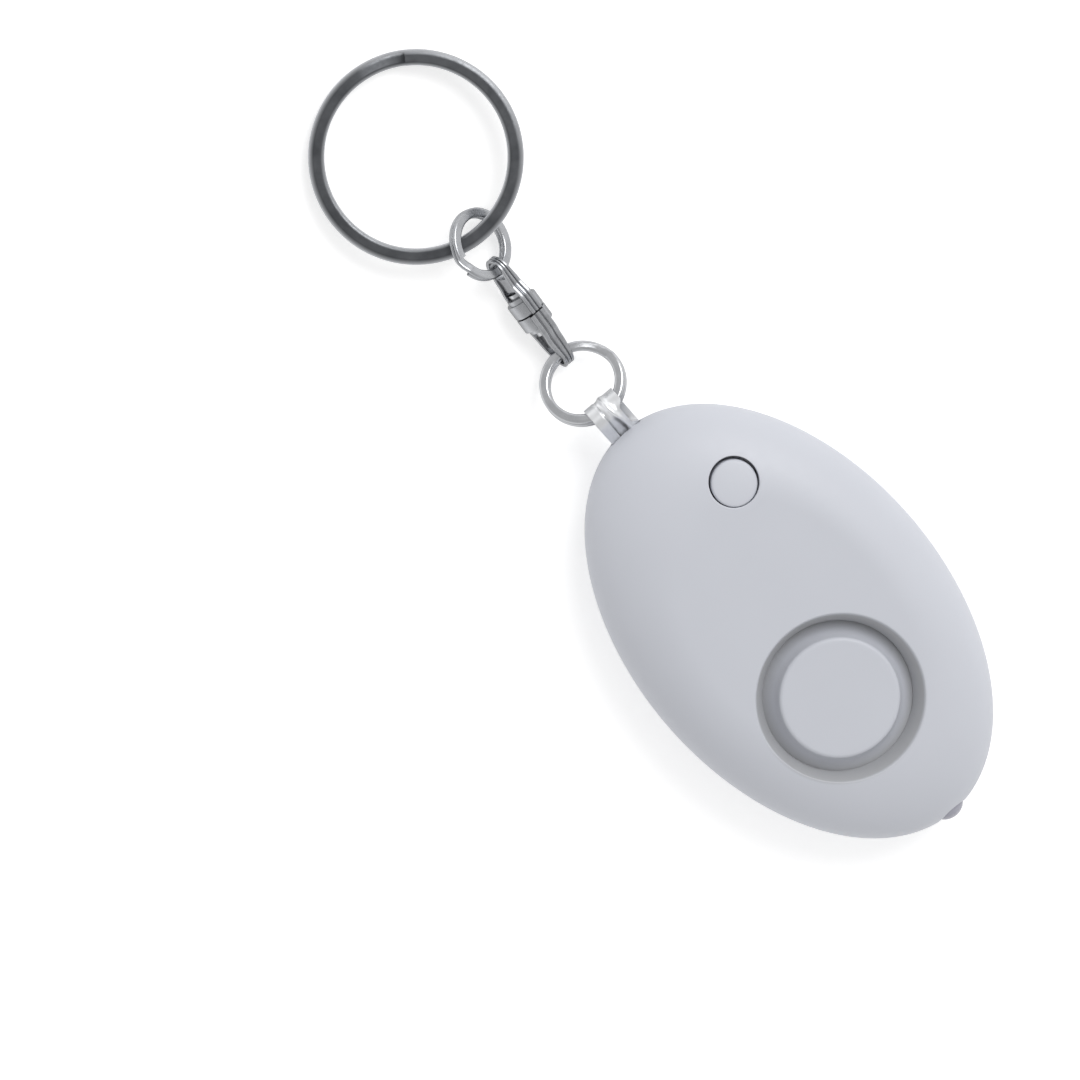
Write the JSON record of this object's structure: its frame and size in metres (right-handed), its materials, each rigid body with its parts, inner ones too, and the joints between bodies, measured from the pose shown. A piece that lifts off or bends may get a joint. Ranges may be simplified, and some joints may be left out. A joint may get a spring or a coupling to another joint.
{
  "type": "personal safety alarm",
  "caption": "Oval pocket alarm with a sounder well, a light button, an end lamp and a metal pull pin on a split ring, swivel, link ring and key ring.",
  "frame": {"origin": "centre of the flat rear face of the case", "axes": "+Z out of the front face, +Y towards the pull pin and its key ring, +X to the right as seen from the front"},
  "size_m": [0.042, 0.1263, 0.015],
  "materials": {
    "case": "satin moulded, cool white",
    "holder": "plain moulded",
    "lamp": "clear moulded lamp",
    "chrome": "bright plated",
    "dark_steel": "flat rolled wire, greyed faces",
    "steel": "plain",
    "tin": "tinned",
    "brass": "rolled",
    "copper": "enamelled wire",
    "ceramic": "fired, silvered",
    "board": "lacquered laminate",
    "black_plastic": "moulded",
    "switch_red": "moulded",
    "red_wire": "wire cover",
    "ferrite": "pressed ferrite",
    "chip_body": "fired body"
  },
  "bodies": {
    "case": {"front_shell": "case", "rear_shell": "case", "case_screws": "steel", "sounder_cap": "case", "sounder_ring": "holder", "sounder_disc": "brass", "sounder_crystal": "ceramic", "sounder_lead_live": "red_wire", "sounder_lead_return": "black_plastic", "switch_body": "black_plastic", "lamp": "lamp", "lamp_leads": "tin", "circuit_board": "board", "sound_chip": "black_plastic", "chip_leads": "tin", "coil_core": "ferrite", "coil_winding": "copper", "transistor": "black_plastic", "transistor_leads": "tin", "chip_resistors": "chip_body", "battery_cells": "steel", "battery_plate": "tin", "battery_spring": "tin", "contact_strip": "brass", "contact_post": "brass"},
    "button": {"light_button": "case", "switch_plunger": "switch_red"},
    "leaf": {"contact_leaf": "brass"},
    "pin": {"pull_pin": "chrome"},
    "pin_ring": {"pin_ring": "chrome"},
    "swivel_lower": {"swivel_lower": "chrome"},
    "swivel_upper": {"swivel_upper": "chrome", "swivel_rivet": "chrome"},
    "link_ring": {"link_ring": "chrome"},
    "key_ring": {"key_ring": "dark_steel"}
  },
  "joints": [
    {"name": "button_press", "type": "slide", "parent": "case", "child": "button", "axis": [0, 0, -1], "range_m": [0, 0.0005], "stiffness_N_per_m": 4000},
    {"name": "pin_pull", "type": "slide", "parent": "case", "child": "pin", "axis": [0, 1, 0], "range_m": [0, 0.0145]},
    {"name": "leaf_follow", "type": "hinge", "parent": "case", "child": "leaf", "pos_m": [0, 0.0195, 0.0086], "axis": [-1, 0, 0], "range_deg": [0, 3.6]},
    {"name": "pin_ring_swing", "type": "hinge", "parent": "pin", "child": "pin_ring", "pos_m": [0, 0.0369, 0.0075], "axis": [1, 0, 0], "range_deg": [-70, 75]},
    {"name": "swivel_swing", "type": "hinge", "parent": "pin_ring", "child": "swivel_lower", "pos_m": [0.00046, 0.04598, 0.00226], "axis": [0.9962, -0.0755, 0.0436], "range_deg": [-60, 60]},
    {"name": "swivel_spin", "type": "hinge", "parent": "swivel_lower", "child": "swivel_upper", "pos_m": [0.00095, 0.05292, 0.003], "axis": [0.0705, 0.9919, 0.1061], "continuous": true},
    {"name": "link_ring_swing", "type": "hinge", "parent": "swivel_upper", "child": "link_ring", "pos_m": [0.00144, 0.05986, 0.00374], "axis": [0.7854, 0.0103, -0.6188], "range_deg": [-45, 45]},
    {"name": "key_ring_swing", "type": "hinge", "parent": "link_ring", "child": "key_ring", "pos_m": [0.00182, 0.06521, 0.00437], "axis": [0.9962, -0.0755, 0.0436], "range_deg": [-30, 30]}
  ],
  "couplings": [
    {"joint": "leaf_follow", "follows": "pin_pull", "rad_per_m": 4.3}
  ]
}
